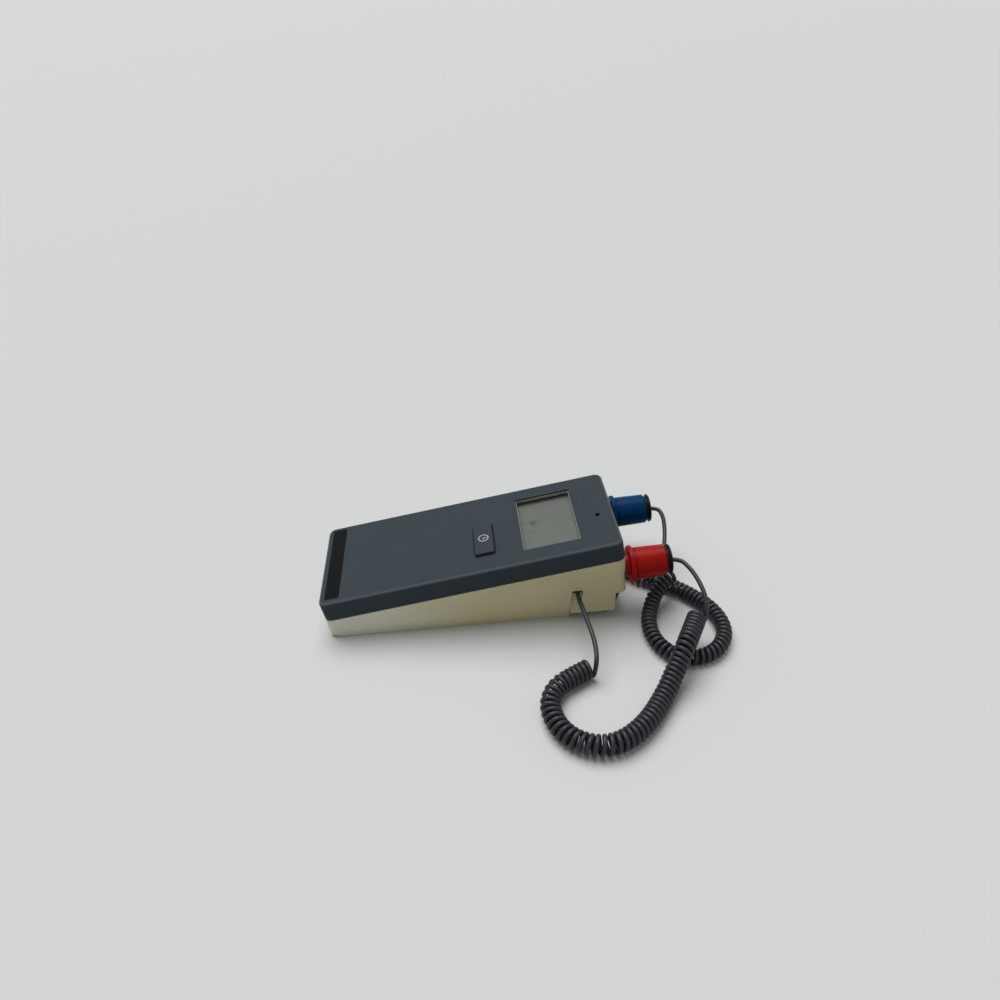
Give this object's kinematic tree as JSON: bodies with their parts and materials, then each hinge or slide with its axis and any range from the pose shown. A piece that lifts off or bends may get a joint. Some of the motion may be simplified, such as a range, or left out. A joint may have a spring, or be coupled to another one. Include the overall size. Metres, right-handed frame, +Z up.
{
  "type": "two-probe electronic clinical thermometer",
  "caption": "Wedge-shaped hand unit with a display window and push button, colour-coded probes standing in wells at its high end, each on a curly cord from a side slot.",
  "frame": {"origin": "on the table under the middle of the object's box, cords left out", "axes": "+X from the low front end to the probe end, +Y to the side of the blue probe, +Z up"},
  "size_m": [0.2545, 0.2021, 0.0606],
  "materials": {
    "cover_abs": "fine-textured blue-grey ABS",
    "case_abs": "cream ABS",
    "label_film": "black printed film, bare",
    "window": "clear acrylic",
    "lcd": "grey-green reflective liquid crystal glass",
    "black_plastic": "black moulded plastic",
    "button_plastic": "near-black moulded plastic",
    "board": "green glass-epoxy laminate",
    "metal": "zinc-plated steel",
    "stem_steel": "stainless tube",
    "brass": "spring brass",
    "rubber": "silicone",
    "red_plastic": "red moulded plastic",
    "blue_plastic": "blue moulded plastic",
    "cord": "dark grey PVC jacket",
    "well_plastic": "pale moulded plastic",
    "cell": "plain steel-cased cell"
  },
  "bodies": {
    "case": {"amplifier_chip": "black_plastic", "battery_cells": "cell", "bay_cover": "case_abs", "bay_screws": "metal", "beeper": "black_plastic", "blue_case_lead": "cord", "blue_coil": "cord", "blue_cord_plug": "black_plastic", "blue_cord_socket": "black_plastic", "blue_probe_sensor": "black_plastic", "blue_well": "well_plastic", "board_screws": "metal", "button_dome": "rubber", "button_switch": "black_plastic", "capacitors": "metal", "case_screws": "metal", "circuit_board": "board", "crystal": "metal", "display_window": "window", "far_contacts": "brass", "label_strip": "label_film", "lcd_contact_strips": "rubber", "lcd_holder": "black_plastic", "lcd_panel": "lcd", "lower_case": "case_abs", "near_contacts": "brass", "processor_chip": "black_plastic", "red_case_lead": "cord", "red_coil": "cord", "red_cord_plug": "black_plastic", "red_cord_socket": "black_plastic", "red_probe_sensor": "black_plastic", "red_well": "well_plastic", "top_cover": "cover_abs"},
    "timer_button": {"timer_button": "button_plastic"},
    "battery_door": {"battery_door": "case_abs"},
    "red_probe": {"red_probe_grip": "red_plastic", "red_probe_stem": "stem_steel", "red_probe_tip": "stem_steel", "red_cord_clamp": "black_plastic", "red_eject_spring": "metal", "red_probe_lead": "cord"},
    "red_ejector": {"red_eject_button": "black_plastic", "red_eject_pins": "stem_steel"},
    "blue_probe": {"blue_probe_grip": "blue_plastic", "blue_probe_stem": "stem_steel", "blue_probe_tip": "stem_steel", "blue_cord_clamp": "black_plastic", "blue_eject_spring": "metal", "blue_probe_lead": "cord"},
    "blue_ejector": {"blue_eject_button": "black_plastic", "blue_eject_pins": "stem_steel"}
  },
  "joints": [
    {"name": "timer_button_press", "type": "slide", "parent": "case", "child": "timer_button", "axis": [0.1736, 0, -0.9848], "range_m": [0, 0.0008], "stiffness_N_per_m": 1200, "deforming": ["button_dome"]},
    {"name": "battery_door_slide", "type": "slide", "parent": "case", "child": "battery_door", "axis": [1, 0, 0], "range_m": [0, 0.008]},
    {"name": "red_probe_draw", "type": "slide", "parent": "case", "child": "red_probe", "axis": [0.9962, 0, 0.0872], "range_m": [0, 0.116], "deforming": ["red_coil", "red_probe_lead"]},
    {"name": "red_eject_press", "type": "slide", "parent": "red_probe", "child": "red_ejector", "axis": [-0.9962, 0, -0.0872], "range_m": [0, 0.0016], "stiffness_N_per_m": 900, "deforming": ["red_eject_spring"]},
    {"name": "blue_probe_draw", "type": "slide", "parent": "case", "child": "blue_probe", "axis": [0.9962, 0, 0.0872], "range_m": [0, 0.116], "deforming": ["blue_coil", "blue_probe_lead"]},
    {"name": "blue_eject_press", "type": "slide", "parent": "blue_probe", "child": "blue_ejector", "axis": [-0.9962, 0, -0.0872], "range_m": [0, 0.0016], "stiffness_N_per_m": 900, "deforming": ["blue_eject_spring"]}
  ]
}
